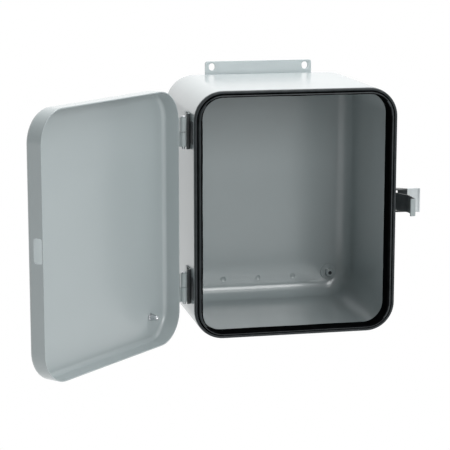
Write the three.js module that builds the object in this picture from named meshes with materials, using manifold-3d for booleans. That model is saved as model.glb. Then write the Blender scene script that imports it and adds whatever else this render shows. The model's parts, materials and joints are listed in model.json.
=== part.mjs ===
// Wall-mounted steel enclosure with a hinged, gasketed pan door and a quick-release draw latch.
// Millimetres, +Z up. The enclosure's front faces -Y and its back is bolted to a wall.
// The origin is the centre of the top bracket's wall face, level with its bolt holes.
// The door stands open and the latch is released.

import * as THREE from 'three';
import { mergeVertices } from 'three/addons/utils/BufferGeometryUtils.js';
import Module from 'manifold-3d';

const wasm = await Module();
wasm.setup();

// ---------------------------------------------------------------- driving dimensions

const BODY_W = 254;          // 10 in
const BODY_H = 304.8;        // 12 in
const BODY_D = 203.2;        // 8 in
const SHEET = 1.5;           // 16 gauge steel
const CORNER_R = 36;         // corners of the box seen from the front
const BACK_R = 20;           // outer edge between the side walls and the back
const GAP = 0.3;             // between pieces that rest on each other

const SEAL_SIDE = 10;        // width of the seal along the sides
const SEAL_END = 7.6;        // and along the top and bottom
const SEAL_FRONT = -6.6;     // crest that the door presses on
const RIDGE_FRONT = -4;      // lower crest over the lip itself
const GROOVE_FRONT = -2.2;
const SEAL_BACK = 15;        // inner leg of the seal

const BRACKET_T = 2.5;
const BRACKET_W = 143.4;
const BRACKET_REACH = 15.3;  // beyond the top or bottom of the box
const BRACKET_LAP = 40.4;    // along the back of the box
const HOLE_SPACING = 125.4;
const HOLE_W = 8;
const HOLE_H = 9.6;
const HOLE_BEYOND = 8;       // hole centre beyond the box
const WELD_X = 48;
const WELD_R = 2.6;
const WELD_Z = 125;

const BOSS_X = 97.9;         // ground boss, low on the right of the back wall
const BOSS_Z = -121;
const BOSS_SEAT_R = 11;
const BOSS_SEAT_H = 1.2;
const BOSS_R = 5.2;
const BOSS_L = 8;
const BOSS_HOLE_R = 2.1;
const BOSS_FLOOR = 2;        // left solid below the hole

const DOOR_W = 259.4;
const DOOR_H = 309;
const DOOR_R = 38;
const DOOR_BEND = 7;
const DOOR_FRONT = -8.5;     // outer face of the closed door
const DOOR_RIM = 23.7;       // depth of the rim
const DOOR_OPEN = THREE.MathUtils.degToRad(135.5);
const STUD_X = -98.7;        // bonding stud, low on the hinge side of the door
const STUD_Z = -123;
const STUD_L = 10.5;
const STUD_R = 3;
const STUD_FLANGE_R = 4.4;
const STUD_HOLE_R = 1.6;
const STUD_HOLE_L = 8;
const SLOT_W = 11.5;         // latch slot in the free side of the rim
const SLOT_H = 29;
const SLOT_FROM_FRONT = 16.5;
const SLOT_R = 3.5;

const HINGE_X = -136.2;      // hinge axis
const HINGE_Y = 17.1;
const HINGE_Z = [102, -90];
const KNUCKLE_R = 3.8;
const KNUCKLE_L = 35.6;
const HINGE_PIN_R = 2;
const HINGE_BORE_R = 2.07;
const KNUCKLE_GAP = 0.2;     // half of the gap between the two knuckles
const LEAF_T = 2;
const LEAF_H = 43.6;
const LEAF_BACK = 44;        // back edge of the leaf on the side wall
const TONGUE_T = 0.6;        // thin front part of the leaf, inside the closed door's rim
const TONGUE_FRONT = 2;
const TONGUE_H = 28;         // it ends below the round corners of the rim

const LATCH_X = BODY_W / 2;  // the latch is laid out from the right side wall
const PIVOT_OUT = 8;         // lever pivot: out from the wall, back from the lip
const PIVOT_Y = 63;
const CRANK = 6;             // lever pivot to hook pin
const CRANK_LEAN = THREE.MathUtils.degToRad(6);
const LEVER_OPEN = THREE.MathUtils.degToRad(90);
const HOOK_OPEN = THREE.MathUtils.degToRad(15);
const EAR_IN = 11.3;         // layers of the latch, measured from its middle plane
const EAR_OUT = 12.8;
const CHEEK_IN = 13.2;
const CHEEK_OUT = 14.8;
const HOOK_HALF = 11;
const RIVET_Y = 28;
const RIVET_Z = 6.5;
const RIVET_R = 2;
const RIVET_HOLE_R = 2.15;
const BASE_T = 1.8;
const PIN_R = 1.5;           // pivot rivets and hook pin
const PIN_BORE_R = 1.57;
const LEVER_OUT = 14;        // outer face of the lever's plate, from the wall
const LEVER_T = 1.6;
const LEVER_HALF = 15.4;
const LEVER_REACH = 40;      // pivot to the end of the lever's plate, without its curl
const LEVER_PLATE = 14;
const CURL_OUT = 2.2;
const WEB_START = 15;        // pivot to the near edge of the lever's sloping web
const WEB_OUT = 7.5;
const HOOK_T = 2;
const CLAW_Y = 12.2;         // middle of the claw's sheet, inside the door's slot
const CLAW_OUT = 7;
const CLAW_TIP_OUT = 0.5;
const KNEE_Y = 36.7;         // the hook's arm bends here, to clear the door's rim
const KNEE_OUT = 13.4;
const EYE_R = 3.2;

const BACK_FACE = BODY_D + GAP + BRACKET_T;
const HOLE_Z = BODY_H / 2 + HOLE_BEYOND;

// ---------------------------------------------------------------- outlines

function roundedRect(width, height, radius, x = 0, y = 0) {
  const w = width / 2;
  const h = height / 2;
  const shape = new THREE.Shape();
  shape.absarc(x + w - radius, y + h - radius, radius, 0, Math.PI / 2);
  shape.absarc(x - w + radius, y + h - radius, radius, Math.PI / 2, Math.PI);
  shape.absarc(x - w + radius, y - h + radius, radius, Math.PI, Math.PI * 1.5);
  shape.absarc(x + w - radius, y - h + radius, radius, Math.PI * 1.5, Math.PI * 2);
  shape.closePath();
  return shape;
}

function disc(x, y, radius) {
  const shape = new THREE.Shape();
  shape.absarc(x, y, radius, 0, Math.PI * 2);
  return shape;
}

function rect(x0, x1, y0, y1) {
  return polygon([[x0, y0], [x1, y0], [x1, y1], [x0, y1]]);
}

function polygon(points) {
  return new THREE.Shape(points.map(([x, y]) => new THREE.Vector2(x, y)));
}

// ---------------------------------------------------------------- solids

// An outline extruded from low to high, with an optional round on both ends.
function extrude(shape, low, high, { round = 0, curveSegments = 4 } = {}) {
  const geometry = new THREE.ExtrudeGeometry(shape, {
    depth: high - low - 2 * round,
    bevelEnabled: round > 0,
    bevelThickness: round,
    bevelSize: round,
    bevelSegments: 4,
    curveSegments,
  });
  geometry.translate(0, 0, low + round);
  return geometry;
}

// Outline in X and Y, extruded along Z.
function alongZ(shape, low, high, options) {
  return solid(extrude(shape, low, high, options));
}

// Outline in X and Z, extruded along Y.
function alongY(shape, low, high, options) {
  const geometry = extrude(shape, -high, -low, options);
  geometry.rotateX(Math.PI / 2);
  return solid(geometry);
}

// Outline in Y and Z, extruded along X.
function alongX(shape, low, high, options) {
  const geometry = extrude(shape, low, high, options);
  const turn = new THREE.Matrix4().makeBasis(
    new THREE.Vector3(0, 1, 0),
    new THREE.Vector3(0, 0, 1),
    new THREE.Vector3(1, 0, 0),
  );
  geometry.applyMatrix4(turn);
  return solid(geometry);
}

// A strip of sheet whose middle follows a path in the XY plane, centred on Z, with round bends.
function bentSheet(path, thickness, half) {
  const points = path.map(([x, y]) => new THREE.Vector2(x, y));
  const bends = points.slice(1, -1).map((p) => disc(p.x, p.y, thickness / 2));
  const flats = points.slice(1).map((to, index) => {
    const from = points[index];
    const side = to.clone().sub(from).setLength(thickness / 2);
    side.rotateAround(new THREE.Vector2(), Math.PI / 2);
    return new THREE.Shape([
      from.clone().sub(side),
      to.clone().sub(side),
      to.clone().add(side),
      from.clone().add(side),
    ]);
  });
  return [...flats, ...bends]
    .map((shape) => alongZ(shape, -half, half, { curveSegments: 8 }))
    .reduce((whole, part) => whole.add(part));
}

// A turned piece: radius and distance along its axis, which runs along +Z, +Y or +X.
function turned(profile, axis = 'z', sides = 24) {
  const points = profile.map(([r, z]) => new THREE.Vector2(r, z));
  const geometry = new THREE.LatheGeometry(points, sides);
  if (axis === 'z') geometry.rotateX(Math.PI / 2);
  if (axis === 'x') geometry.rotateZ(-Math.PI / 2);
  return solid(geometry);
}

function solid(geometry) {
  geometry.deleteAttribute('normal');
  geometry.deleteAttribute('uv');
  const merged = mergeVertices(geometry, 1e-4);
  const mesh = new wasm.Mesh({
    numProp: 3,
    vertProperties: new Float32Array(merged.attributes.position.array),
    triVerts: new Uint32Array(merged.index.array),
  });
  return new wasm.Manifold(mesh);
}

function geometryOf(manifold) {
  const mesh = manifold.getMesh();
  const geometry = new THREE.BufferGeometry();
  geometry.setAttribute('position', new THREE.BufferAttribute(mesh.vertProperties, 3));
  geometry.setIndex(new THREE.BufferAttribute(mesh.triVerts, 1));
  geometry.computeVertexNormals();
  return geometry;
}

// ---------------------------------------------------------------- finishes

const FINISH = {
  paint: { color: 0xa6adb1, roughness: 0.35, metalness: 0.0 },
  rubber: { color: 0x17181a, roughness: 0.55, metalness: 0.0 },
  zinc: { color: 0xb9bec2, roughness: 0.35, metalness: 0.9 },
  hingeSteel: { color: 0x8d9497, roughness: 0.4, metalness: 0.6 },
  darkSteel: { color: 0x4c5256, roughness: 0.4, metalness: 0.7 },
  stainless: { color: 0xd6d9db, roughness: 0.25, metalness: 1.0 },
};

function piece(name, manifold, finish) {
  const mesh = new THREE.Mesh(geometryOf(manifold), new THREE.MeshStandardMaterial(FINISH[finish]));
  mesh.name = name;
  return mesh;
}

// ---------------------------------------------------------------- box, seal, brackets, boss

// The outline of the box or of anything that follows it, inset from its outer side.
function boxOutline(inset) {
  return roundedRect(BODY_W - 2 * inset, BODY_H - 2 * inset, CORNER_R - inset);
}

function enclosureBody() {
  const beyond = 40;
  const innerRound = BACK_R - SHEET;
  const outer = alongY(boxOutline(BACK_R), -beyond, BODY_D, { round: BACK_R });
  const inner = alongY(boxOutline(BACK_R), -2 * beyond, BODY_D - SHEET, { round: innerRound });
  const ahead = alongY(rect(-BODY_W, BODY_W, -BODY_H, BODY_H), -3 * beyond, 0);
  let body = outer.subtract(inner).subtract(ahead);
  body = body.add(bossSeat(BODY_D - SHEET, SHEET / 2)).subtract(bossSeat(BODY_D, 1));
  for (const z of [WELD_Z, -WELD_Z]) {
    for (const x of [-WELD_X, 0, WELD_X]) {
      body = body.subtract(alongY(disc(x, z, WELD_R), BODY_D - SHEET - 1, BODY_D - SHEET + 0.4));
    }
  }
  for (const z of [RIVET_Z, -RIVET_Z]) {
    body = body.subtract(rivetHole(z));
  }
  return body;
}

// A hole through the side wall and the latch base.
function rivetHole(z) {
  const hole = disc(RIVET_Y, z, RIVET_HOLE_R);
  return alongX(hole, LATCH_X - 5, LATCH_X + 5, { curveSegments: 8 });
}

// The pressed seat of the ground boss: a low cone that stands on the plane at wall.
function bossSeat(wall, root) {
  const slope = 1;
  const profile = [
    [0, wall - BOSS_SEAT_H],
    [BOSS_SEAT_R - slope, wall - BOSS_SEAT_H],
    [BOSS_SEAT_R, wall],
    [BOSS_SEAT_R, wall + root],
    [0, wall + root],
  ];
  return turned(profile, 'y', 32).translate([BOSS_X, 0, BOSS_Z]);
}

function groundBoss() {
  const foot = BODY_D - SHEET - BOSS_SEAT_H - GAP;
  const face = foot - BOSS_L;
  const profile = [
    [0, foot],
    [BOSS_R, foot],
    [BOSS_R, face + 0.6],
    [BOSS_R - 0.6, face],
    [BOSS_HOLE_R, face],
    [BOSS_HOLE_R, foot - BOSS_FLOOR],
    [0, foot - BOSS_FLOOR],
  ];
  return turned(profile.reverse(), 'y').translate([BOSS_X, 0, BOSS_Z]);
}

function sealBand(outside, opening, low, high) {
  const ring = boxOutline(outside);
  ring.holes.push(opening);
  return alongY(ring, low, high);
}

// Seal pushed over the lip: a ridge on the lip, a higher crest inside it and a leg behind that.
function doorGasket() {
  const width = BODY_W - 2 * SEAL_SIDE;
  const opening = roundedRect(width, BODY_H - 2 * SEAL_END, CORNER_R - SEAL_SIDE);
  const overLip = sealBand(0.3, opening, GROOVE_FRONT, -GAP);
  const ridge = sealBand(0.6, boxOutline(3.8), RIDGE_FRONT, GROOVE_FRONT + 0.2);
  const crest = sealBand(5.2, opening, SEAL_FRONT, GROOVE_FRONT + 0.2);
  const leg = sealBand(SHEET + GAP, opening, -GAP - 0.2, SEAL_BACK);
  return overLip.add(ridge).add(crest).add(leg);
}

// A strip across the back, with one bolt slot near each end. side is 1 at the top, -1 below.
function mountingBracket(side) {
  const height = BRACKET_LAP + BRACKET_REACH;
  const middle = side * (BODY_H / 2 + (BRACKET_REACH - BRACKET_LAP) / 2);
  const shape = roundedRect(BRACKET_W, height, 3.4, 0, middle);
  for (const x of [-HOLE_SPACING / 2, HOLE_SPACING / 2]) {
    shape.holes.push(roundedRect(HOLE_W, HOLE_H, HOLE_W / 2 - 0.01, x, side * HOLE_Z));
  }
  return alongY(shape, BODY_D + GAP, BACK_FACE);
}

// ---------------------------------------------------------------- door

// Pressed pan, drawn closed: a flat panel with a rim that laps over the sides of the box.
function doorPan() {
  const beyond = 30;
  const back = DOOR_FRONT + DOOR_RIM;
  const outline = roundedRect(DOOR_W - 2 * DOOR_BEND, DOOR_H - 2 * DOOR_BEND, DOOR_R - DOOR_BEND);
  const outer = alongY(outline, DOOR_FRONT, back + beyond, { round: DOOR_BEND });
  const bend = DOOR_BEND - SHEET;
  const inner = alongY(outline, DOOR_FRONT + SHEET, back + 2 * beyond, { round: bend });
  const behind = alongY(rect(-BODY_W, BODY_W, -BODY_H, BODY_H), back, back + 3 * beyond);
  const slot = roundedRect(SLOT_W, SLOT_H, SLOT_R, DOOR_FRONT + SLOT_FROM_FRONT, 0);
  const cutter = alongX(slot, DOOR_W / 2 - 5, DOOR_W / 2 + 5);
  return outer.subtract(inner).subtract(behind).subtract(cutter);
}

function doorBondingStud() {
  const foot = DOOR_FRONT + SHEET + GAP;
  const tip = foot + STUD_L;
  const profile = [
    [0, foot],
    [STUD_FLANGE_R, foot],
    [STUD_FLANGE_R, foot + 1],
    [STUD_R, foot + 1.6],
    [STUD_R, tip - 0.5],
    [STUD_R - 0.5, tip],
    [STUD_HOLE_R, tip],
    [STUD_HOLE_R, tip - STUD_HOLE_L],
    [0, tip - STUD_HOLE_L],
  ];
  return turned(profile, 'y').translate([STUD_X, 0, STUD_Z]);
}

// ---------------------------------------------------------------- hinges

function knuckle(low, high) {
  return alongZ(disc(HINGE_X, HINGE_Y, KNUCKLE_R), low, high, { curveSegments: 12 });
}

function hingeBore(middle) {
  const bore = disc(HINGE_X, HINGE_Y, HINGE_BORE_R);
  return alongZ(bore, middle - KNUCKLE_L, middle + KNUCKLE_L, { curveSegments: 12 });
}

// Welded to the side wall. Its front-facing web carries the upper knuckle.
function bodyLeaf(middle) {
  const wall = -BODY_W / 2 - GAP;
  const back = HINGE_Y + KNUCKLE_R;
  const front = back - LEAF_T;
  const low = middle - LEAF_H / 2;
  const high = middle + LEAF_H / 2;
  const knuckleLow = middle + KNUCKLE_GAP;
  const knuckleHigh = middle + KNUCKLE_L / 2;
  const webEdge = HINGE_X + KNUCKLE_R + 0.5;
  const tongueLow = middle - TONGUE_H / 2;
  return alongZ(rect(wall - LEAF_T, wall, front, LEAF_BACK), low, high)
    .add(alongZ(rect(wall - TONGUE_T, wall, TONGUE_FRONT, back), tongueLow, tongueLow + TONGUE_H))
    .add(alongZ(rect(webEdge, wall, front, back), low, high))
    .add(alongZ(rect(HINGE_X, wall, front, back), knuckleLow, knuckleHigh))
    .add(knuckle(knuckleLow, knuckleHigh))
    .subtract(hingeBore(middle));
}

// Welded to the rim of the door. It carries the lower knuckle.
function doorLeaf(middle) {
  const rim = -DOOR_W / 2 - GAP;
  const front = HINGE_Y - KNUCKLE_R;
  const low = middle - KNUCKLE_L / 2;
  const high = middle + KNUCKLE_L / 2;
  const knuckleHigh = middle - KNUCKLE_GAP;
  return alongZ(rect(rim - LEAF_T, rim, -2, front + 1.5), low, high)
    .add(alongZ(rect(HINGE_X, rim, front, front + LEAF_T), low, knuckleHigh))
    .add(knuckle(low, knuckleHigh))
    .subtract(hingeBore(middle));
}

function hingePin(middle) {
  const top = KNUCKLE_L / 2 + GAP;
  const profile = [
    [0, -top - 3],
    [HINGE_PIN_R - 0.5, -top - 3],
    [HINGE_PIN_R, -top - 2.4],
    [HINGE_PIN_R, top],
    [3.1, top],
    [3.1, top + 0.9],
    [2.5, top + 1.5],
    [0, top + 1.5],
  ];
  return turned(profile).translate([HINGE_X, HINGE_Y, middle]);
}

// ---------------------------------------------------------------- latch, drawn closed

const PIVOT = { x: LATCH_X + PIVOT_OUT, y: PIVOT_Y };
const HOOK_PIN = {
  x: PIVOT.x - CRANK * Math.sin(CRANK_LEAN),
  y: PIVOT.y + CRANK * Math.cos(CRANK_LEAN),
};

function pinBore(at) {
  return alongZ(disc(at.x, at.y, PIN_BORE_R), -20, 20, { curveSegments: 12 });
}

// Plate on the side wall with two ears that carry the lever.
function latchBase() {
  const wall = LATCH_X + GAP;
  const earR = 4;
  const ear = new THREE.Shape();
  ear.moveTo(wall, PIVOT.y - earR);
  ear.lineTo(PIVOT.x, PIVOT.y - earR);
  ear.absarc(PIVOT.x, PIVOT.y, earR, -Math.PI / 2, Math.PI / 2);
  ear.lineTo(wall, PIVOT.y + earR);
  ear.closePath();
  const low = 20;
  const high = PIVOT.y + 9;
  const foot = roundedRect(high - low, 2 * EAR_OUT, 2, (low + high) / 2, 0);
  return alongX(foot, wall, wall + BASE_T)
    .add(alongZ(ear, EAR_IN, EAR_OUT))
    .add(alongZ(ear, -EAR_OUT, -EAR_IN))
    .subtract(rivetHole(RIVET_Z))
    .subtract(rivetHole(-RIVET_Z))
    .subtract(pinBore(PIVOT));
}

// Blind rivet through the latch base and the side wall.
function baseRivet(z) {
  const outer = LATCH_X + GAP + BASE_T;
  const inner = LATCH_X - SHEET;
  const profile = [
    [0, inner - 2],
    [2.6, inner - 2],
    [3.2, inner - 1.2],
    [3.2, inner - 0.2],
    [RIVET_R, inner - 0.2],
    [RIVET_R, outer + 0.2],
    [3.4, outer + 0.2],
    [3, outer + 1.1],
    [1.6, outer + 1.6],
    [0, outer + 1.6],
  ];
  return turned(profile, 'x').translate([0, RIVET_Y, z]);
}

// Short rivet that joins an ear to a cheek of the lever, flush inside. side is 1 above, -1 below.
function pivotRivet(side) {
  const profile = [
    [0, EAR_IN],
    [PIN_R, EAR_IN],
    [PIN_R, CHEEK_OUT + 0.2],
    [2.8, CHEEK_OUT + 0.2],
    [2.5, CHEEK_OUT + 1],
    [1.4, CHEEK_OUT + 1.4],
    [0, CHEEK_OUT + 1.4],
  ];
  const rivet = turned(profile);
  const placed = side > 0 ? rivet : rivet.rotate([180, 0, 0]);
  return placed.translate([PIVOT.x, PIVOT.y, 0]);
}

function hookPin() {
  const head = CHEEK_OUT + 0.2;
  const profile = [
    [0, -head - 1],
    [2.2, -head - 1],
    [2.4, -head - 0.6],
    [2.4, -head],
    [PIN_R, -head],
    [PIN_R, head],
    [2.4, head],
    [2.4, head + 0.6],
    [2.2, head + 1],
    [0, head + 1],
  ];
  return turned(profile).translate([HOOK_PIN.x, HOOK_PIN.y, 0]);
}

// Two cheeks from the pivot, joined by a sloping web and a wide finger plate with a curled end.
function latchLever() {
  const outerFace = LATCH_X + LEVER_OUT;
  const end = PIVOT.y + LEVER_REACH;
  const plateStart = end - LEVER_PLATE;
  const cheek = new THREE.Shape();
  cheek.absarc(PIVOT.x, PIVOT.y, 4.2, Math.PI, Math.PI * 2);
  cheek.lineTo(outerFace, PIVOT.y + 10);
  cheek.lineTo(outerFace, end);
  cheek.lineTo(LATCH_X + 10.8, end);
  cheek.lineTo(LATCH_X + 9.4, plateStart);
  cheek.lineTo(LATCH_X + 4, PIVOT.y + 20);
  cheek.lineTo(LATCH_X + 1.8, PIVOT.y + 14);
  cheek.lineTo(LATCH_X + 1.8, PIVOT.y + 7);
  cheek.closePath();
  const middle = outerFace - LEVER_T / 2;
  const path = [
    [LATCH_X + WEB_OUT, PIVOT.y + WEB_START],
    [middle, plateStart],
    [middle, end],
    [middle + CURL_OUT, end + CURL_OUT],
  ];
  return bentSheet(path.slice(0, 3), LEVER_T, CHEEK_IN + 0.5)
    .add(bentSheet(path.slice(1), LEVER_T, LEVER_HALF))
    .add(alongZ(cheek, CHEEK_IN, CHEEK_OUT))
    .add(alongZ(cheek, -CHEEK_OUT, -CHEEK_IN))
    .subtract(pinBore(PIVOT))
    .subtract(pinBore(HOOK_PIN));
}

// Arm that bends outward round the door's rim, with a claw that drops into the door's slot.
function latchHook() {
  const path = [
    [HOOK_PIN.x, HOOK_PIN.y],
    [LATCH_X + KNEE_OUT, KNEE_Y],
    [LATCH_X + CLAW_OUT, CLAW_Y],
    [LATCH_X + CLAW_TIP_OUT, CLAW_Y],
  ];
  const eye = disc(HOOK_PIN.x, HOOK_PIN.y, EYE_R);
  return bentSheet(path, HOOK_T, HOOK_HALF)
    .add(alongZ(eye, -HOOK_HALF, HOOK_HALF, { curveSegments: 12 }))
    .subtract(pinBore(HOOK_PIN));
}

// ---------------------------------------------------------------- assembly

// A group that turns its contents about a vertical line through a point.
function turnAbout(point, angle) {
  const group = new THREE.Group();
  group.position.set(point.x, point.y, 0);
  group.rotation.z = angle;
  const inside = new THREE.Group();
  inside.position.set(-point.x, -point.y, 0);
  group.add(inside);
  return { group, inside };
}

const fixed = new THREE.Group();
fixed.add(
  piece('enclosure_body', enclosureBody(), 'paint'),
  piece('door_gasket', doorGasket(), 'rubber'),
  piece('top_mounting_bracket', mountingBracket(1), 'paint'),
  piece('bottom_mounting_bracket', mountingBracket(-1), 'paint'),
  piece('ground_boss', groundBoss(), 'paint'),
  piece('latch_base', latchBase(), 'darkSteel'),
  piece('latch_base_rivet_upper', baseRivet(RIVET_Z), 'zinc'),
  piece('latch_base_rivet_lower', baseRivet(-RIVET_Z), 'zinc'),
  piece('latch_pivot_rivet_upper', pivotRivet(1), 'zinc'),
  piece('latch_pivot_rivet_lower', pivotRivet(-1), 'zinc'),
);

const door = turnAbout({ x: HINGE_X, y: HINGE_Y }, -DOOR_OPEN);
door.inside.add(
  piece('door_pan', doorPan(), 'paint'),
  piece('door_bonding_stud', doorBondingStud(), 'zinc'),
);

['upper', 'lower'].forEach((place, index) => {
  const middle = HINGE_Z[index];
  fixed.add(piece(`${place}_hinge_body_leaf`, bodyLeaf(middle), 'hingeSteel'));
  fixed.add(piece(`${place}_hinge_pin`, hingePin(middle), 'zinc'));
  door.inside.add(piece(`${place}_hinge_door_leaf`, doorLeaf(middle), 'hingeSteel'));
});

const lever = turnAbout(PIVOT, -LEVER_OPEN);
lever.inside.add(
  piece('latch_lever', latchLever(), 'stainless'),
  piece('latch_hook_pin', hookPin(), 'zinc'),
);
const hook = turnAbout(HOOK_PIN, LEVER_OPEN + HOOK_OPEN);
hook.inside.add(piece('latch_hook', latchHook(), 'stainless'));
lever.inside.add(hook.group);

const group = new THREE.Group();
group.add(fixed, door.group, lever.group);
group.position.set(0, -BACK_FACE, -HOLE_Z);
export default group;
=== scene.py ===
"""The look of a hinged-cover wall enclosure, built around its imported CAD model.

Pieces are laid out in millimetres from the centre of the box's front lip: X to the right, Y into
the box, Z up. The door, the lever and the hook are laid out closed and then turned to where they
rest. Sizes that the CAD model fixes are read from it.
"""

import json
import math

import bmesh
import bpy
from mathutils import Matrix, Vector

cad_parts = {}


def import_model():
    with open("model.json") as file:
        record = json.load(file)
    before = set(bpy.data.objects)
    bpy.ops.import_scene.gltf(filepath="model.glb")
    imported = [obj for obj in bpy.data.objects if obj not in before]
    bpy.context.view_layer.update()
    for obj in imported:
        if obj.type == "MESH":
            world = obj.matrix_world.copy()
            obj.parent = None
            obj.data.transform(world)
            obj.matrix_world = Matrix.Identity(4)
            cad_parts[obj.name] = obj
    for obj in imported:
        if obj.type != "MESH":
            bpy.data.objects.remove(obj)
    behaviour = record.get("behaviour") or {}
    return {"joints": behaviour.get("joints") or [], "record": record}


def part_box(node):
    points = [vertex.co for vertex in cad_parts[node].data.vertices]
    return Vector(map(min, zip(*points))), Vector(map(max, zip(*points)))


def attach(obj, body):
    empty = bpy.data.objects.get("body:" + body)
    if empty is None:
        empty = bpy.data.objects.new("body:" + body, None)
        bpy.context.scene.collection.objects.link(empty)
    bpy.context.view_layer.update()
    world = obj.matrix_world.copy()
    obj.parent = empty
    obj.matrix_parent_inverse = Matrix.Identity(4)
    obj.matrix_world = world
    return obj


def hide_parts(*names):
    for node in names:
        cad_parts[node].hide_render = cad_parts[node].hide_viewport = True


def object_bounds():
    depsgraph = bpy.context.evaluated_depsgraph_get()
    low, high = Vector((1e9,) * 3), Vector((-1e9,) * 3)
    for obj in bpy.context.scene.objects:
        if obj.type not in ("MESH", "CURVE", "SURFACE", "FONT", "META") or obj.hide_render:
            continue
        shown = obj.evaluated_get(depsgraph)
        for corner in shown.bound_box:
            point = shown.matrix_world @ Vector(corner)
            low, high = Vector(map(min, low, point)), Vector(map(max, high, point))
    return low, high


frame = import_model()
cad_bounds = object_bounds()

MM = 0.001
SHEET = 1.5
GAP = 0.3


# ---------------------------------------------------------------- where things are


def joint(name):
    return next(j for j in frame["joints"] if j["name"] == name)


def turn(point, degrees):
    """A turn about the vertical line through a point of the row frame."""
    here = Matrix.Translation(point)
    return here @ Matrix.Rotation(math.radians(degrees), 4, "Z") @ here.inverted()


body_low, body_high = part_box("enclosure_body")
ORIGIN = Vector((0, body_low.y, (body_low.z + body_high.z) / 2))
LAYOUT = Matrix.Translation(ORIGIN) @ Matrix.Scale(MM, 4)

BODY_W = (body_high.x - body_low.x) / MM
BODY_H = (body_high.z - body_low.z) / MM
BODY_D = (body_high.y - body_low.y) / MM
CORNER_R = 36
BACK_R = 20

HINGE = Vector(joint("door_hinge")["pos_m"])
DOOR_SHUT = joint("door_hinge")["range_deg"][1]
DOOR_PLACE = turn(HINGE, -DOOR_SHUT) @ LAYOUT

PIVOT = Vector(joint("lever_pivot")["pos_m"])
LEVER_SHUT = joint("lever_pivot")["range_deg"][1]
LEVER_PLACE = turn(PIVOT, -LEVER_SHUT) @ LAYOUT

HOOK_REST = Vector(joint("hook_pivot")["pos_m"])
HOOK_SHUT = turn(PIVOT, LEVER_SHUT) @ HOOK_REST
HOOK_OPEN = 15
HOOK_PLACE = turn(HOOK_REST, HOOK_OPEN) @ Matrix.Translation(HOOK_REST - HOOK_SHUT) @ LAYOUT


def in_layout(point):
    """A row frame point in the layout's millimetres."""
    return LAYOUT.inverted() @ point


# ---------------------------------------------------------------- outlines


def arc(cu, cv, radius, start, end, steps=8):
    """Points of an arc, angles in degrees."""
    points = []
    for i in range(steps + 1):
        a = math.radians(start + (end - start) * i / steps)
        points.append((cu + radius * math.cos(a), cv + radius * math.sin(a)))
    return points


def rounded(corners, steps=6):
    """A closed outline through (u, v, radius) corners, each rounded by its radius."""
    points = []
    for i, (u, v, radius) in enumerate(corners):
        here = Vector((u, v))
        before = (Vector(corners[i - 1][:2]) - here).normalized()
        after = (Vector(corners[(i + 1) % len(corners)][:2]) - here).normalized()
        if radius <= 0:
            points.append((u, v))
            continue
        half = before.angle(after) / 2
        reach = radius / math.tan(half)
        centre = here + (before + after).normalized() * (radius / math.sin(half))
        first = here + before * reach - centre
        last = here + after * reach - centre
        for k in range(steps + 1):
            side = first.slerp(last, k / steps)
            points.append(tuple(centre + side.normalized() * radius))
    return points


def box_outline(u0, u1, v0, v1, radius, steps=6):
    return rounded([(u0, v0, radius), (u1, v0, radius), (u1, v1, radius), (u0, v1, radius)], steps)


def strip(path, thickness):
    """The outline of a sheet of even thickness whose middle follows a path."""
    left = []
    right = []
    for i, here in enumerate(path):
        here = Vector(here)
        ahead = Vector(path[min(i + 1, len(path) - 1)])
        behind = Vector(path[max(i - 1, 0)])
        along = (ahead - behind).normalized()
        into = (here - behind).normalized() if i else along
        side = Vector((-along.y, along.x))
        stretch = max(abs(into.dot(along)), 0.5)
        left.append(tuple(here + side * thickness / 2 / stretch))
        right.append(tuple(here - side * thickness / 2 / stretch))
    return left + right[::-1]


# ---------------------------------------------------------------- meshes


def spot(axis, u, v, d):
    """A point from its place in a section and its distance along an axis."""
    return {"x": Vector((d, u, v)), "y": Vector((u, d, v)), "z": Vector((u, v, d))}[axis]


def finished(bm):
    bmesh.ops.recalc_face_normals(bm, faces=bm.faces)
    mesh = bpy.data.meshes.new("mesh")
    bm.to_mesh(mesh)
    bm.free()
    return mesh


def loft(loops, wrap=False):
    """Skin over loops of equal length. It is capped at both ends, or wraps from last to first."""
    bm = bmesh.new()
    rings = [[bm.verts.new(p) for p in loop] for loop in loops]
    pairs = list(zip(rings, rings[1:]))
    if wrap:
        pairs.append((rings[-1], rings[0]))
    for low, high in pairs:
        for i in range(len(low)):
            k = (i + 1) % len(low)
            bm.faces.new((low[i], low[k], high[k], high[i]))
    if not wrap:
        bm.faces.new(rings[0])
        bm.faces.new(rings[-1])
    return finished(bm)


def plate(outline, low, high, edge=0.25, axis="z", segments=2):
    """A flat piece: an outline carried along an axis, with broken edges."""
    bm = bmesh.new()
    loops = [[bm.verts.new(spot(axis, u, v, d)) for u, v in outline] for d in (low, high)]
    count = len(outline)
    for i in range(count):
        k = (i + 1) % count
        bm.faces.new((loops[0][i], loops[0][k], loops[1][k], loops[1][i]))
    caps = [bm.faces.new(loop) for loop in loops]
    bmesh.ops.recalc_face_normals(bm, faces=bm.faces)
    if edge > 0:
        rim = [e for cap in caps for e in cap.edges]
        bmesh.ops.bevel(bm, geom=rim, offset=edge, segments=segments, profile=0.5, affect="EDGES")
    return finished(bm)


def turned(profile, centre=(0, 0), axis="z", steps=48):
    """A turned piece, from (radius, distance) pairs that start and end on the axis."""
    loops = []
    for radius, d in profile:
        ring = arc(centre[0], centre[1], max(radius, 0.001), 0, 360, steps)[:-1]
        loops.append([spot(axis, u, v, d) for u, v in ring])
    return loft(loops)


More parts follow.
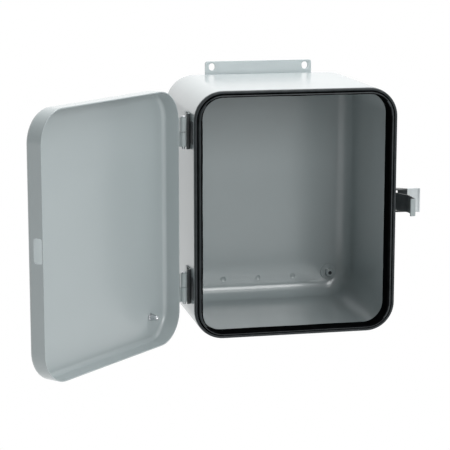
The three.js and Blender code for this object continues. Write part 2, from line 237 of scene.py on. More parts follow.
def boxed_loop(half_w, half_h, radius, inset, depth, arc_steps=12, side_steps=1):
    """A rounded rectangle in X and Z at a depth, drawn in from its outer size by an inset."""
    r = max(radius - inset, 0.2)
    w = half_w - inset - r
    h = half_h - inset - r
    corners = [(w, h), (-w, h), (-w, -h), (w, -h)]
    points = []
    for k, (cx, cz) in enumerate(corners):
        points += arc(cx, cz, r, 90 * k, 90 * (k + 1), arc_steps)
        nx, nz = corners[(k + 1) % 4]
        a = math.radians(90 * (k + 1))
        for s in range(1, side_steps):
            t = s / side_steps
            points.append(
                (cx + (nx - cx) * t + r * math.cos(a), cz + (nz - cz) * t + r * math.sin(a))
            )
    return [Vector((x, depth, z)) for x, z in points]


def temporary(mesh):
    obj = bpy.data.objects.new("temporary", mesh)
    bpy.context.scene.collection.objects.link(obj)
    return obj


def combine(mesh, other, operation):
    """One closed mesh cut by, or joined with, another."""
    first = temporary(mesh)
    second = temporary(other)
    modifier = first.modifiers.new("combine", "BOOLEAN")
    modifier.operation = operation
    modifier.solver = "EXACT"
    modifier.object = second
    graph = bpy.context.evaluated_depsgraph_get()
    made = bpy.data.meshes.new_from_object(first.evaluated_get(graph))
    bpy.data.objects.remove(first)
    bpy.data.objects.remove(second)
    return made


def join(*meshes):
    result = meshes[0]
    for mesh in meshes[1:]:
        result = combine(result, mesh, "UNION")
    return result


def cut(mesh, *cutters):
    for cutter in cutters:
        mesh = combine(mesh, cutter, "DIFFERENCE")
    return mesh


def slot_cutter(centre, width, height, radius, low, high, axis, edge=0.3):
    """Cuts a slot with broken edges through a wall that lies between low and high."""
    u, v = centre
    loops = []
    for d, grow in (
        (low - 1, edge),
        (low, edge),
        (low + edge, 0),
        (high - edge, 0),
        (high, edge),
        (high + 1, edge),
    ):
        w = width / 2 + grow
        h = height / 2 + grow
        ring = box_outline(u - w, u + w, v - h, v + h, min(radius + grow, w - 0.01, h - 0.01))
        loops.append([spot(axis, a, b, d) for a, b in ring])
    return loft(loops)


def hole_cutter(centre, radius, low, high, axis, edge=0.2):
    profile = [
        (radius + edge, low - 1),
        (radius + edge, low),
        (radius, low + edge),
        (radius, high - edge),
        (radius + edge, high),
        (radius + edge, high + 1),
    ]
    return turned(profile, centre, axis, 32)


# ---------------------------------------------------------------- materials


class Nodes:
    """A small helper that adds and joins the nodes of one material."""

    def __init__(self, name):
        self.material = bpy.data.materials.new(name)
        self.material.use_nodes = True
        self.tree = self.material.node_tree
        self.shader = self.tree.nodes["Principled BSDF"]
        self.position = self.add("ShaderNodeTexCoord").outputs["Object"]

    def add(self, kind, **settings):
        node = self.tree.nodes.new(kind)
        for key, value in settings.items():
            setattr(node, key, value)
        return node

    def link(self, source, target):
        self.tree.links.new(source, target)

    def stretched(self, scale):
        mapping = self.add("ShaderNodeMapping")
        mapping.inputs["Scale"].default_value = scale
        self.link(self.position, mapping.inputs["Vector"])
        return mapping.outputs["Vector"]

    def noise(self, scale, detail=2.0, roughness=0.5, vector=None):
        node = self.add("ShaderNodeTexNoise")
        node.inputs["Scale"].default_value = scale
        node.inputs["Detail"].default_value = detail
        node.inputs["Roughness"].default_value = roughness
        self.link(vector or self.position, node.inputs["Vector"])
        return node.outputs["Fac"]

    def ramp(self, value, low, high, start=0.3, end=0.7):
        """Maps a value from start..end onto low..high."""
        node = self.add("ShaderNodeMapRange")
        node.inputs["From Min"].default_value = start
        node.inputs["From Max"].default_value = end
        node.inputs["To Min"].default_value = low
        node.inputs["To Max"].default_value = high
        self.link(value, node.inputs["Value"])
        return node.outputs["Result"]

    def mix(self, factor, first, second):
        node = self.add("ShaderNodeMix", data_type="RGBA")
        self.link(factor, node.inputs["Factor"])
        for socket, value in ((node.inputs["A"], first), (node.inputs["B"], second)):
            if isinstance(value, tuple):
                socket.default_value = (*value, 1)
            else:
                self.link(value, socket)
        return node.outputs["Result"]

    def edges(self, radius, start, end):
        """1 on sharp outer edges and 0 on flat faces."""
        bevel = self.add("ShaderNodeBevel", samples=4)
        bevel.inputs["Radius"].default_value = radius
        normal = self.add("ShaderNodeNewGeometry").outputs["Normal"]
        dot = self.add("ShaderNodeVectorMath", operation="DOT_PRODUCT")
        self.link(bevel.outputs["Normal"], dot.inputs[0])
        self.link(normal, dot.inputs[1])
        return self.ramp(dot.outputs["Value"], 1, 0, start, end)

    def bump(self, height, distance, strength=1.0, under=None):
        node = self.add("ShaderNodeBump")
        node.inputs["Distance"].default_value = distance
        node.inputs["Strength"].default_value = strength
        self.link(height, node.inputs["Height"])
        if under is not None:
            self.link(under, node.inputs["Normal"])
        return node.outputs["Normal"]

    def finish(self, colour, roughness, normal, metallic=0.0, **sockets):
        self.link(colour, self.shader.inputs["Base Color"])
        self.link(roughness, self.shader.inputs["Roughness"])
        self.link(normal, self.shader.inputs["Normal"])
        self.shader.inputs["Metallic"].default_value = metallic
        for name, value in sockets.items():
            self.shader.inputs[name.replace("_", " ")].default_value = value
        return self.material


SCRATCH = 0.00002


def paint(name, lightness=1.0):
    """Semi-gloss grey enamel: soft mottling, faint smears and fine orange peel."""
    n = Nodes(name)
    dark, light = (
        tuple(c * lightness for c in tone)
        for tone in ((0.325, 0.370, 0.378), (0.345, 0.390, 0.398))
    )
    tone = n.mix(n.ramp(n.noise(7, 3), 0, 1), dark, light)
    peel = n.bump(n.noise(300, 1, 0.5), 0.00003, 0.25)
    panel = n.bump(n.noise(7, 0), 0.0008, 0.2, peel)
    smear = n.ramp(n.noise(14, 3), 0.29, 0.33)
    return n.finish(tone, smear, panel, Coat_Weight=0.7, Coat_Roughness=0.16)


def rubber(name, dark, light, shine):
    """Moulded black rubber: slightly dusty, with flow marks along it."""
    n = Nodes(name)
    dust = n.noise(120, 3, 0.5)
    tone = n.mix(n.ramp(dust, 0, 1, 0.35, 0.75), dark, light)
    grain = n.noise(1400, 3, 0.6)
    flow = n.noise(60, 2)
    normal = n.bump(flow, 0.0006, 0.3, n.bump(grain, 0.00005, 0.6))
    return n.finish(tone, n.ramp(dust, 0.34, 0.42), normal, Specular_IOR_Level=shine)


def satin(name, dark, light):
    """A dull, pale metal coating with a fine drawn grain."""
    n = Nodes(name)
    tone = n.mix(n.ramp(n.noise(90, 3), 0, 1), dark, light)
    lines = n.noise(500, 3, 0.7, n.stretched((1, 1, 10)))
    return n.finish(tone, n.ramp(lines, 0.34, 0.42), n.bump(lines, SCRATCH, 0.5))


def metal(name, dark, light, rough, brush):
    """Bare or plated steel with a drawn or tumbled grain."""
    n = Nodes(name)
    cloud = n.noise(180, 4, 0.6)
    tone = n.mix(n.ramp(cloud, 0, 1), dark, light)
    bright = n.mix(n.edges(0.0003, 0.6, 0.97), tone, tuple(min(c * 1.25, 1) for c in light))
    lines = n.noise(500, 3, 0.7, n.stretched(brush))
    normal = n.bump(lines, SCRATCH, 0.6)
    return n.finish(bright, n.ramp(lines, rough - 0.06, rough + 0.08), normal, metallic=1.0)


PAINT = paint("grey_paint")
# The same grey paint made 1.4 times lighter: painted light, for the brighter light that falls on the
# brackets.
BRACKET_LIT_PAINT = paint("grey_paint_painted_light", 1.4)
RUBBER = rubber("black_rubber", (0.026, 0.031, 0.033), (0.042, 0.048, 0.051), 0.14)
# Near-black rubber with no reflection: painted shade for the seal's groove and the inner side of its
# bulb.
SHADE_RUBBER = rubber("painted_shade_rubber", (0.002, 0.0022, 0.0024), (0.004, 0.0044, 0.0048), 0.0)
ZINC = metal("zinc_plate", (0.50, 0.52, 0.54), (0.64, 0.66, 0.68), 0.3, (1, 1, 1))
STAINLESS = metal("stainless", (0.42, 0.44, 0.455), (0.56, 0.58, 0.59), 0.22, (1, 1, 12))
HINGE_STEEL = satin("hinge_steel", (0.28, 0.32, 0.325), (0.33, 0.37, 0.375))
SATIN_ZINC = satin("satin_zinc", (0.50, 0.54, 0.55), (0.60, 0.64, 0.65))
DARK_STEEL = metal("dark_steel", (0.06, 0.065, 0.07), (0.10, 0.105, 0.11), 0.34, (1, 1, 6))
# Near-black satin used only as painted shade: down the boss's hole, on the hinge webs and the sheet
# before them, on the lever's cheeks and on the hook's arm.
SHADE_BLACK = satin("painted_shade_black", (0.026, 0.031, 0.033), (0.044, 0.050, 0.053))

FINISHES = {
    "grey_paint": PAINT,
    "black_rubber": RUBBER,
    "zinc_plate": ZINC,
    "stainless": STAINLESS,
    "hinge_steel": HINGE_STEEL,
    "dark_steel": DARK_STEEL,
}
SLOT_OF = {s["node"]: s["material_slot"] for s in frame["record"]["subparts"]}
BODY_OF = {
    node: body for body, nodes in frame["record"]["behaviour"]["bodies"].items() for node in nodes
}


def show(node, mesh, place=LAYOUT, crease=32, finish=None, other=None, where=None):
    """Puts a mesh in place of a CAD node, on the body and with the finish of that node.

    Faces that pass the where test, still in the layout's millimetres, get the other finish.
    """
    mesh.materials.clear()
    mesh.materials.append(finish or FINISHES[SLOT_OF[node]])
    if other:
        mesh.materials.append(other)
    for face in mesh.polygons:
        face.material_index = 1 if where and where(face) else 0
    mesh.transform(place)
    mesh.shade_smooth()
    mesh.set_sharp_from_angle(angle=math.radians(crease))
    obj = bpy.data.objects.new(f"{node}_look", mesh)
    bpy.context.scene.collection.objects.link(obj)
    weighted = obj.modifiers.new("even_shading", "WEIGHTED_NORMAL")
    weighted.keep_sharp = True
    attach(obj, BODY_OF[node])
    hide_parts(node)
    return obj


# ---------------------------------------------------------------- box

boss_low, boss_high = (in_layout(p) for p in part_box("ground_boss"))
BOSS = (boss_low + boss_high) / 2
BOSS_R = (boss_high.x - boss_low.x) / 2
BOSS_SEAT_H = BODY_D - SHEET - GAP - boss_high.y
WELD_X = 48
WELD_Z = 125


def box_loops(profile, **steps):
    return [
        boxed_loop(BODY_W / 2, BODY_H / 2, CORNER_R, inset, depth, **steps)
        for inset, depth in profile
    ]


def boss_seat(back):
    """The pressed seat under the boss, with its foot blended into the wall."""
    top = back - BOSS_SEAT_H
    profile = [
        (0, top),
        (10.3, top),
        (10.5, top + 0.08),
        (10.7, top + 0.32),
        (10.9, top + 0.86),
        (11.1, top + 1.14),
        (11.4, top + 1.19),
        (11.4, back + 0.6),
        (0, back + 0.6),
    ]
    return turned(profile, (BOSS.x, BOSS.z), "y", 64)


def weld_dimple(x, z):
    """A shallow round print left by a spot weld."""
    depth = 0.9
    radius = 3.6
    wall = BODY_D - SHEET
    profile = [(0, wall - 1)]
    profile += [(radius * 1.12, wall - 1), (radius, wall - 0.02)]
    profile += [(radius * 0.8, wall + depth * 0.55), (radius * 0.45, wall + depth * 0.92)]
    profile += [(0, wall + depth)]
    return turned(profile, (x, z), "y", 24)


def enclosure_body():
    centre = (BACK_R, BODY_D - BACK_R)
    outer = arc(*centre, BACK_R, 90, 180, 16)
    inner = arc(*centre, BACK_R - SHEET, 180, 90, 16)
    lip = [(0, 0.5), (0.15, 0.15), (0.5, 0), (SHEET - 0.5, 0), (SHEET - 0.15, 0.15), (SHEET, 0.5)]
    mesh = loft(box_loops(outer + lip + inner))
    mesh = join(mesh, boss_seat(BODY_D - SHEET))
    mesh = cut(mesh, boss_seat(BODY_D))
    for side in (1, -1):
        for x in (-WELD_X, 0, WELD_X):
            mesh = cut(mesh, weld_dimple(x, side * WELD_Z))
    for z in (RIVET_Z, -RIVET_Z):
        mesh = cut(mesh, hole_cutter((RIVET_Y, z), RIVET_R + 0.15, *side_wall(), "x"))
    show("enclosure_body", mesh)


def side_wall():
    return BODY_W / 2 - SHEET, BODY_W / 2


def ground_boss():
    foot = boss_high.y
    face = boss_low.y
    profile = [(0, foot), (BOSS_R - 0.3, foot), (BOSS_R, foot - 0.3)]
    profile += [(BOSS_R, face + 0.7), (BOSS_R - 0.2, face + 0.25), (BOSS_R - 0.7, face)]
    profile += [(2.5, face)]
    profile += thread(2.15, 0.35, 0.7, face + 0.3, foot - 2.2)
    profile += [(0, foot - 2.2)]
    show("ground_boss", turned(profile, (BOSS.x, BOSS.z), "y", 48), other=SHADE_BLACK, where=in_shaded_hole)


# Faces down the tapped hole take the near-black finish: painted shade inside the hole.
def in_shaded_hole(face):
    across = math.hypot(face.center.x - BOSS.x, face.center.z - BOSS.z)
    return across < 2.4


def thread(radius, depth, pitch, start, end):
    """The crests and roots of a thread down a hole, as rings."""
    count = int(abs(end - start) / pitch)
    step = (end - start) / count
    points = []
    for i in range(count):
        points.append((radius - depth, start + step * i))
        points.append((radius, start + step * (i + 0.5)))
    return points


# ---------------------------------------------------------------- seal


SEAL_SIDE = 10
SEAL_END = 7.6
SEAL_GROOVE = 4.5


def seal_loop(inset, depth):
    """A loop of the seal. Its inner part is wider along the sides than along the ends."""
    inner = max(0.0, (inset - SEAL_GROOVE) / (SEAL_SIDE - SEAL_GROOVE))
    half_h = BODY_H / 2 + (SEAL_SIDE - SEAL_END) * inner
    return boxed_loop(BODY_W / 2, half_h, CORNER_R, inset, depth, arc_steps=16, side_steps=40)


def from_edge(point):
    """How far a point lies inside the outline of the box."""
    x = abs(point.x) - (BODY_W / 2 - CORNER_R)
    z = abs(point.z) - (BODY_H / 2 - CORNER_R)
    if x > 0 and z > 0:
        return CORNER_R - math.hypot(x, z)
    return CORNER_R - max(x, z)


def in_seal_shade(face):
    """The groove of the seal and the inner side of its bulb, made darker and without reflection as
    painted shade.
    """
    inset = from_edge(face.center)
    upright = abs(face.center.x) / BODY_W > abs(face.center.z) / BODY_H
    bulb = 7.9 if upright else 6.4
    return inset > bulb or 3.7 < inset < 5.3


def door_gasket():
    """A ridge on the lip, a taller bulb inside it, and a leg that grips behind the lip."""
    low, high = (in_layout(p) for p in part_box("door_gasket"))
    crest = low.y
    leg = high.y
    outer = (BODY_W - (high.x - low.x)) / 2
    grip = SHEET + GAP
    profile = [(outer, -GAP), (outer, -1.6)]
    profile += arc(2.2, -2.3, 1.7, 200, 340, 8)
    profile += [(4.3, -2.15), (5.3, -2.3)]
    profile += arc(SEAL_SIDE - 2.2, crest + 2.2, 2.2, 170, 360, 14)
    profile += [(SEAL_SIDE, 2), (SEAL_SIDE - 0.15, 8), (SEAL_SIDE, leg - 1)]
    profile += arc(SEAL_SIDE - 0.9, leg - 0.9, 0.9, 0, 90, 4)
    profile += arc(grip + 0.6, leg - 0.6, 0.6, 90, 180, 4)
    profile += [(grip, 4), (grip, -GAP)]
    loops = []
    for inset, depth in profile:
        loop = seal_loop(inset, depth)
        further = seal_loop(inset + 1, depth)
        loose = max(0.0, (inset - 6) / (SEAL_SIDE - 6))
        for i, point in enumerate(loop):
            point += (further[i] - point) * loose * slack(point)
        loops.append(loop)
    show("door_gasket", loft(loops, wrap=True), crease=50, other=SHADE_RUBBER, where=in_seal_shade)


def slack(point):
    """How far the seal's free side leans inward here: it lies a little unevenly."""
    wave = math.sin(point.x * 0.071 + 1.3) * math.sin(point.z * 0.053 + 0.4)
    ripple = math.sin(point.x * 0.19 + point.z * 0.23)
    return 0.28 + 0.22 * wave + 0.08 * ripple


# ---------------------------------------------------------------- brackets


HOLE_X = 62.7
HOLE_W = 8
HOLE_H = 9.6
HOLE_BEYOND = 8


def mounting_bracket(node):
    """A strip with round corners and two bolt slots beyond the box."""
    low, high = (in_layout(p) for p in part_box(node))
    side = 1 if high.z > 0 else -1
    outline = box_outline(low.x, high.x, low.z, high.z, 3.4, 8)
    mesh = plate(outline, low.y, high.y, 0.35, "y", 3)
    hole_z = side * (BODY_H / 2 + HOLE_BEYOND)
    for x in (-HOLE_X, HOLE_X):
        hole = slot_cutter((x, hole_z), HOLE_W, HOLE_H, HOLE_W / 2, low.y, high.y, "y")
        mesh = cut(mesh, hole)
    # The brackets take the lightened copy of the grey paint as painted light.
    show(node, mesh, finish=BRACKET_LIT_PAINT)


# ---------------------------------------------------------------- door

DOOR_W = 259.4
DOOR_H = (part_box("door_pan")[1].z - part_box("door_pan")[0].z) / MM
DOOR_R = 38
DOOR_BEND = 7
DOOR_FRONT = -8.5
DOOR_RIM = 23.7
SLOT_Y = DOOR_FRONT + 16.5
SLOT_W = 11.5
SLOT_H = 29
SLOT_R = 3.5
STUD = (-98.7, -123)
STUD_L = 10.5
STUD_HOLE_L = 8


def door_pan():
    back = DOOR_FRONT + DOOR_RIM
    centre = (DOOR_BEND, DOOR_FRONT + DOOR_BEND)
    outer = arc(*centre, DOOR_BEND, 270, 180, 10)
    edge = [(0, back - 0.5), (0.15, back - 0.15), (0.5, back)]
    edge += [(SHEET - 0.5, back), (SHEET - 0.15, back - 0.15), (SHEET, back - 0.5)]
    inner = arc(*centre, DOOR_BEND - SHEET, 180, 270, 10)
    loops = [
        boxed_loop(DOOR_W / 2, DOOR_H / 2, DOOR_R, inset, depth, arc_steps=16)
        for inset, depth in outer + edge + inner
    ]
    mesh = loft(loops)
    walls = (DOOR_W / 2 - SHEET, DOOR_W / 2)
    mesh = cut(mesh, slot_cutter((SLOT_Y, 0), SLOT_W, SLOT_H, SLOT_R, *walls, "x", 0.35))
    show("door_pan", mesh, DOOR_PLACE)


def door_bonding_stud():
    foot = DOOR_FRONT + SHEET + GAP
    tip = foot + STUD_L
    profile = [(0, foot), (4.3, foot), (4.4, foot + 0.15), (4.4, foot + 0.8), (4.1, foot + 1.1)]
    profile += [(3.2, foot + 1.4), (3, foot + 1.8), (3, tip - 0.6), (2.6, tip), (2.0, tip)]
    profile += thread(1.75, 0.3, 0.6, tip - 0.25, tip - STUD_HOLE_L)
    profile += [(0, tip - STUD_HOLE_L)]
    show("door_bonding_stud", turned(profile, STUD, "y", 40), DOOR_PLACE)


# ---------------------------------------------------------------- hinges

KNUCKLE_R = 3.8
KNUCKLE_L = 35.6
LEAF_T = 2
# A thin dark sheet on the side wall between the lip and the web, put there as painted shade.
LEAF_H = 43.6
SHADE_SHEET_T = 0.6
SHADE_SHEET_FRONT = 2
LEAF_BACK = 44
SHADE_SHEET_H = 28
AXIS = in_layout(HINGE)


def knuckle(low, high):
    return plate(arc(AXIS.x, AXIS.y, KNUCKLE_R, 0, 360, 40)[:-1], low, high, 0.4, "z", 3)


def in_hinge_shade(face):
    """The near-black front of a body leaf and the thin sheet before it, between its knuckle and the
    lip of the box: painted shade for the dark crevice there.
    """
    spoke = math.hypot(face.center.x - AXIS.x, face.center.y - AXIS.y)
    ahead = face.center.y < AXIS.y + KNUCKLE_R + 0.05
    return spoke > KNUCKLE_R + 0.05 and ahead and abs(face.normal.z) < 0.9


def bored(mesh, low, high):
    return cut(mesh, hole_cutter((AXIS.x, AXIS.y), 2.07, low, high, "z", 0.25))


def body_leaf(place, middle):
    """Welded to the side wall. Its front-facing web carries the upper knuckle. The web and a thin
    sheet on the wall before it are made near-black as painted shade.
    """
    wall = -BODY_W / 2 - GAP
    back = AXIS.y + KNUCKLE_R
    inner = back - LEAF_T
    low = middle - LEAF_H / 2
    high = middle + LEAF_H / 2
    eye = (middle + 0.2, middle + KNUCKLE_L / 2)
    edge_x = AXIS.x + KNUCKLE_R + 0.5
    angle = rounded(
        [
            (wall, LEAF_BACK, 0.3),
            (wall - LEAF_T, LEAF_BACK, 0.3),
            (wall - LEAF_T, back, 0.6),
            (edge_x, back, 0.3),
            (edge_x, inner, 0.3),
            (wall, inner, 1.6),
        ]
    )
    # The sheet before the web stands in for the shade in the crevice by the lip.
    shade_sheet = box_outline(wall - SHADE_SHEET_T, wall, SHADE_SHEET_FRONT, inner + 0.5, 0.1, 1)
    arm = box_outline(AXIS.x, wall - 1, inner, back, 0.2, 2)
    mesh = join(
        plate(angle, low, high, 0.3),
        plate(shade_sheet, middle - SHADE_SHEET_H / 2, middle + SHADE_SHEET_H / 2, 0.1),
        plate(arm, *eye, 0.2),
        knuckle(*eye),
    )
    mesh = bored(mesh, *eye)
    show(f"{place}_hinge_body_leaf", mesh, other=SHADE_BLACK, where=in_hinge_shade)


def door_leaf(place, middle):
    """Welded to the rim of the door. It carries the lower knuckle."""
    rim = -DOOR_W / 2 - GAP
    front = AXIS.y - KNUCKLE_R
    low = middle - KNUCKLE_L / 2
    high = middle + KNUCKLE_L / 2
    eye = (low, middle - 0.2)
    leaf = box_outline(rim - LEAF_T, rim, -2, front + 1.5, 0.3, 3)
    arm = box_outline(AXIS.x, rim - 0.2, front, front + LEAF_T, 0.2, 2)
    mesh = join(plate(leaf, low, high, 0.3), plate(arm, *eye, 0.2), knuckle(*eye))
    show(f"{place}_hinge_door_leaf", bored(mesh, *eye), DOOR_PLACE)


def hinge_pin(place, middle):
    top = KNUCKLE_L / 2 + GAP
    profile = [(0, -top - 3), (1.3, -top - 3), (1.7, -top - 2.8), (2, -top - 2.3), (2, top)]
    profile += [(3, top), (3.1, top + 0.1), (3.1, top + 0.8)]
    profile += [(2.8, top + 1.2), (2.1, top + 1.45), (0, top + 1.5)]
    placed = [(r, z + middle) for r, z in profile]
    show(f"{place}_hinge_pin", turned(placed, (AXIS.x, AXIS.y)))


# ---------------------------------------------------------------- latch

WALL_X = BODY_W / 2
PIVOT_XY = in_layout(PIVOT)
HOOK_XY = in_layout(HOOK_SHUT)
EAR_IN = 11.3
EAR_OUT = 12.8
CHEEK_IN = 13.2
CHEEK_OUT = 14.8
LEVER_HALF = 15.4
LEVER_REACH = 40
LEVER_PLATE = 14
HOOK_HALF = 11
KNEE_OUT = 13.4
KNEE_Y = 36.7
CLAW_Y = 12.2
CLAW_OUT = 7
CLAW_TIP_OUT = 0.5
RIVET_Y = 28
RIVET_Z = 6.5
RIVET_R = 2
PIN_R = 1.5


def pin_hole(at, low, high):
    return hole_cutter((at.x, at.y), 1.57, low, high, "z", 0.15)


def latch_base():
    """A plate on the side wall with two ears that carry the lever."""
    wall = WALL_X + GAP
    foot = box_outline(20, PIVOT_XY.y + 9, -EAR_OUT, EAR_OUT, 2)
    low = PIVOT_XY.y - 4
    ear = [(wall + 0.2, low)]
    ear += arc(PIVOT_XY.x, PIVOT_XY.y, 4, -90, 90, 16)
    ear += [(wall + 0.2, low + 8)]
    mesh = join(
        plate(foot, wall, wall + 1.8, 0.3, "x"),
        plate(ear, EAR_IN, EAR_OUT),
        plate(ear, -EAR_OUT, -EAR_IN),
    )
    for z in (RIVET_Z, -RIVET_Z):
        mesh = cut(mesh, hole_cutter((RIVET_Y, z), RIVET_R + 0.15, wall, wall + 1.8, "x"))
    for ends in ((EAR_IN, EAR_OUT), (-EAR_OUT, -EAR_IN)):
        mesh = cut(mesh, pin_hole(PIVOT_XY, *ends))
    show("latch_base", mesh)


def base_rivet(node, z):
    outer = WALL_X + GAP + 1.8
    inner = WALL_X - SHEET
    profile = [(0, inner - 2), (2.4, inner - 2), (2.9, inner - 1.7), (3.2, inner - 1.1)]
    profile += [(3.2, inner - 0.2), (RIVET_R, inner - 0.2), (RIVET_R, outer + 0.2)]
    profile += [(3.4, outer + 0.2), (3.35, outer + 0.6), (2.9, outer + 1.15)]
    profile += [(2, outer + 1.5), (1.1, outer + 1.6), (0.9, outer + 1.1), (0, outer + 1.1)]
    show(node, turned(profile, (RIVET_Y, z), "x", 32))


def pivot_rivet(node, side):
    profile = [(0, EAR_IN), (PIN_R - 0.2, EAR_IN), (PIN_R, EAR_IN + 0.2)]
    profile += [(PIN_R, CHEEK_OUT + 0.2), (2.8, CHEEK_OUT + 0.2), (2.75, CHEEK_OUT + 0.6)]
    profile += [(2.3, CHEEK_OUT + 1.1), (1.4, CHEEK_OUT + 1.4), (0, CHEEK_OUT + 1.4)]
    placed = [(r, side * z) for r, z in profile]
    show(node, turned(placed, (PIVOT_XY.x, PIVOT_XY.y), "z", 32))


def hook_pin():
    head = CHEEK_OUT + 0.2
    half = [(PIN_R, head), (2.4, head), (2.4, head + 0.5), (2.1, head + 0.85), (1.5, head + 1)]
    half += [(0, head + 1)]
    profile = [(r, -z) for r, z in half[::-1]] + half
    show("latch_hook_pin", turned(profile, (HOOK_XY.x, HOOK_XY.y), "z", 32), LEVER_PLACE)


def latch_lever():
    """Two cheeks joined by a sloping web, and a wide finger plate with a curled end."""
    outer = WALL_X + 14
    middle = outer - 0.8
    reach = PIVOT_XY.y
    end = reach + LEVER_REACH
    start = end - LEVER_PLATE
    cheek = arc(PIVOT_XY.x, reach, 4.2, 180, 360, 16)
    cheek += rounded(
        [
            (outer, reach + 10, 6),
            (outer, end - 0.4, 0.5),
            (WALL_X + 10.8, end - 0.4, 0.5),
            (WALL_X + 9.4, start, 6),
            (WALL_X + 4, reach + 20, 6),
            (WALL_X + 1.8, reach + 14, 6),
            (WALL_X + 1.8, reach + 7, 4),
        ]
    )
    web = [(WALL_X + 7.5, reach + 15), (middle, start), (middle, end)]
    curl = [(middle, start), (middle, end - 1), (middle + 0.3, end + 0.2)]
    curl += [(middle + 1.1, end + 1.3), (middle + 2, end + 2)]
    mesh = join(
        plate(strip(web, 1.6), -CHEEK_IN - 0.5, CHEEK_IN + 0.5, 0.3),
        plate(strip(curl, 1.6), -LEVER_HALF, LEVER_HALF, 0.4),
        plate(cheek, CHEEK_IN, CHEEK_OUT, 0.25),
        plate(cheek, -CHEEK_OUT, -CHEEK_IN, 0.25),
    )
    for ends in ((CHEEK_IN, CHEEK_OUT), (-CHEEK_OUT, -CHEEK_IN)):
        mesh = cut(mesh, pin_hole(PIVOT_XY, *ends), pin_hole(HOOK_XY, *ends))
    # The cheeks and web take the near-black finish as painted shade; only the finger plate shows the
    # lever's satin zinc.
    show("latch_lever", mesh, LEVER_PLACE, finish=SHADE_BLACK, other=SATIN_ZINC, where=on_finger_plate)


def on_finger_plate(face):
    start = PIVOT_XY.y + LEVER_REACH - LEVER_PLATE
    return face.center.y > start - 0.5 and face.center.x > WALL_X + 12


def bend(before, at, after, radius):
    """The points of a sheet's middle line where it bends."""
    corners = [(*before, 0), (*at, radius), (*after, 0)]
    return rounded(corners)[1:-1]


def latch_hook():
    """An arm that bends outward round the door's rim, with a claw for the slot in the rim."""
    pin = (HOOK_XY.x, HOOK_XY.y)
    knee = (WALL_X + KNEE_OUT, KNEE_Y)
    corner = (WALL_X + CLAW_OUT, CLAW_Y)
    tip = (WALL_X + CLAW_TIP_OUT, CLAW_Y)
    path = [pin, *bend(pin, knee, corner, 4), *bend(knee, corner, tip, 1.6), tip]
    eye = arc(*pin, 3.2, 0, 360, 32)[:-1]
    mesh = join(
        plate(strip(path, 2), -HOOK_HALF, HOOK_HALF, 0.35),
        plate(eye, -HOOK_HALF, HOOK_HALF, 0.3),
    )
    mesh = cut(mesh, pin_hole(HOOK_XY, -HOOK_HALF, HOOK_HALF))
    # The arm takes the near-black finish as painted shade; only the claw shows the hook's pale
    # steel.
    show("latch_hook", mesh, HOOK_PLACE, finish=SHADE_BLACK, other=HINGE_STEEL, where=on_claw)


def on_claw(face):
    return face.center.y < CLAW_Y + 1.8


# ---------------------------------------------------------------- assembly

enclosure_body()
ground_boss()
door_gasket()
mounting_bracket("top_mounting_bracket")
mounting_bracket("bottom_mounting_bracket")
door_pan()
door_bonding_stud()
for place in ("upper", "lower"):
    pin_low, pin_high = (in_layout(p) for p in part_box(f"{place}_hinge_pin"))
    middle = (pin_low.z + 3 + pin_high.z - 1.5) / 2
    body_leaf(place, middle)
    door_leaf(place, middle)
    hinge_pin(place, middle)
latch_base()
base_rivet("latch_base_rivet_upper", RIVET_Z)
base_rivet("latch_base_rivet_lower", -RIVET_Z)
pivot_rivet("latch_pivot_rivet_upper", 1)
pivot_rivet("latch_pivot_rivet_lower", -1)
latch_lever()
hook_pin()
latch_hook()


# ---------------------------------------------------------------- camera, floor and light

CAMERA_AT = Vector((-0.5168, -2.2135, 0.2257))
CAMERA_PITCH = math.pi / 2 - 0.1911
CAMERA_YAW = -0.2102
CAMERA_LENS = 137.9
FLOOR_BELOW = 0.45
FLOOR_GLOW = 0.35
WORLD_LEVELS = (  # a direction, and the light from the far side and from the near side of it
    ((0, 0.5, 1), 0.3, 1.3),
    ((-0.5, -1, 0), 1.0, 0.06),
)


def camera():
    data = bpy.data.cameras.new("camera")
    data.lens = CAMERA_LENS
    data.sensor_width = 36
    obj = bpy.data.objects.new("camera", data)
    obj.location = CAMERA_AT
    obj.rotation_euler = (CAMERA_PITCH, 0, CAMERA_YAW)
    bpy.context.scene.collection.objects.link(obj)
    bpy.context.scene.camera = obj


def shown_white(tree, shader):
    """The shader as the scene's light, and plain white where the camera itself looks at it."""
    seen = tree.nodes.new("ShaderNodeLightPath").outputs["Is Camera Ray"]
    white = tree.nodes.new("ShaderNodeEmission")
    both = tree.nodes.new("ShaderNodeMixShader")
    tree.links.new(seen, both.inputs["Fac"])
    tree.links.new(shader, both.inputs[1])
    tree.links.new(white.outputs["Emission"], both.inputs[2])
    return both.outputs["Shader"]


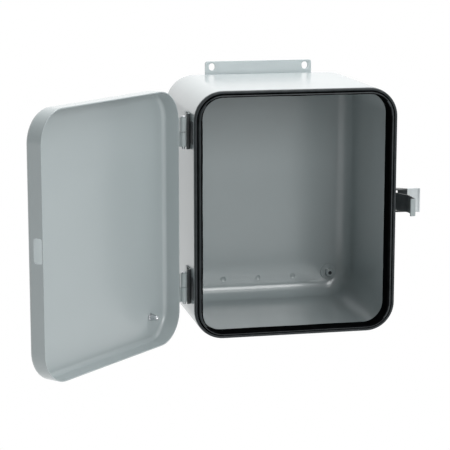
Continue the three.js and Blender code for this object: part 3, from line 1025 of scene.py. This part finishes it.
def floor():
    """A wide pale floor, well below the box, which hangs."""
    half = 30
    level = cad_bounds[0].z - FLOOR_BELOW
    mesh = bpy.data.meshes.new("floor")
    corners = [(-half, -half), (half, -half), (half, half), (-half, half)]
    mesh.from_pydata([(x, y, level) for x, y in corners], [], [(0, 1, 2, 3)])
    n = Nodes("floor_white")
    tone = n.mix(n.ramp(n.noise(2), 0, 1), (0.50, 0.50, 0.50), (0.54, 0.54, 0.54))
    n.link(tone, n.shader.inputs["Base Color"])
    n.shader.inputs["Roughness"].default_value = 0.9
    n.shader.inputs["Emission Color"].default_value = (1, 1, 1, 1)
    n.shader.inputs["Emission Strength"].default_value = FLOOR_GLOW
    surface = n.tree.nodes["Material Output"].inputs["Surface"]
    n.link(shown_white(n.tree, n.shader.outputs["BSDF"]), surface)
    mesh.materials.append(n.material)
    obj = bpy.data.objects.new("floor", mesh)
    bpy.context.scene.collection.objects.link(obj)


def softbox(name, at, aim, size, watts):
    data = bpy.data.lights.new(name, "AREA")
    data.shape = "RECTANGLE"
    data.size, data.size_y = size
    data.energy = watts
    obj = bpy.data.objects.new(name, data)
    obj.location = at
    obj.rotation_euler = (Vector(aim) - Vector(at)).to_track_quat("-Z", "Y").to_euler()
    bpy.context.scene.collection.objects.link(obj)


def world():
    """A studio that is bright behind and above, and darker in front."""
    studio = bpy.data.worlds.new("studio")
    studio.use_nodes = True
    tree = studio.node_tree
    way = tree.nodes.new("ShaderNodeTexCoord").outputs["Generated"]
    product = tree.nodes.new("ShaderNodeMath")
    product.operation = "MULTIPLY"
    for i, (toward, low, high) in enumerate(WORLD_LEVELS):
        dot = tree.nodes.new("ShaderNodeVectorMath")
        dot.operation = "DOT_PRODUCT"
        dot.inputs[1].default_value = Vector(toward).normalized()
        tree.links.new(way, dot.inputs[0])
        level = tree.nodes.new("ShaderNodeMapRange")
        level.interpolation_type = "SMOOTHSTEP"
        level.inputs["From Min"].default_value = -1
        level.inputs["To Min"].default_value = low
        level.inputs["To Max"].default_value = high
        tree.links.new(dot.outputs["Value"], level.inputs["Value"])
        tree.links.new(level.outputs["Result"], product.inputs[i])
    lit = tree.nodes["Background"]
    lit.inputs["Color"].default_value = (1, 1, 1, 1)
    tree.links.new(product.outputs["Value"], lit.inputs["Strength"])
    surface = tree.nodes["World Output"].inputs["Surface"]
    tree.links.new(shown_white(tree, lit.outputs["Background"]), surface)
    bpy.context.scene.world = studio



camera()
floor()
world()
softbox("overhead", (0.4, 0.1, 1.7), (0, -0.1, -0.1), (2.4, 1.4), 34)
softbox("key", (0.4, -2.6, 0.75), (0, -0.1, -0.2), (1.2, 1.0), 30)
softbox("fill", (0.15, -1.3, 1.0), (0, -0.12, -0.28), (0.6, 0.5), 3.2)

bpy.context.scene.view_settings.view_transform = "Standard"
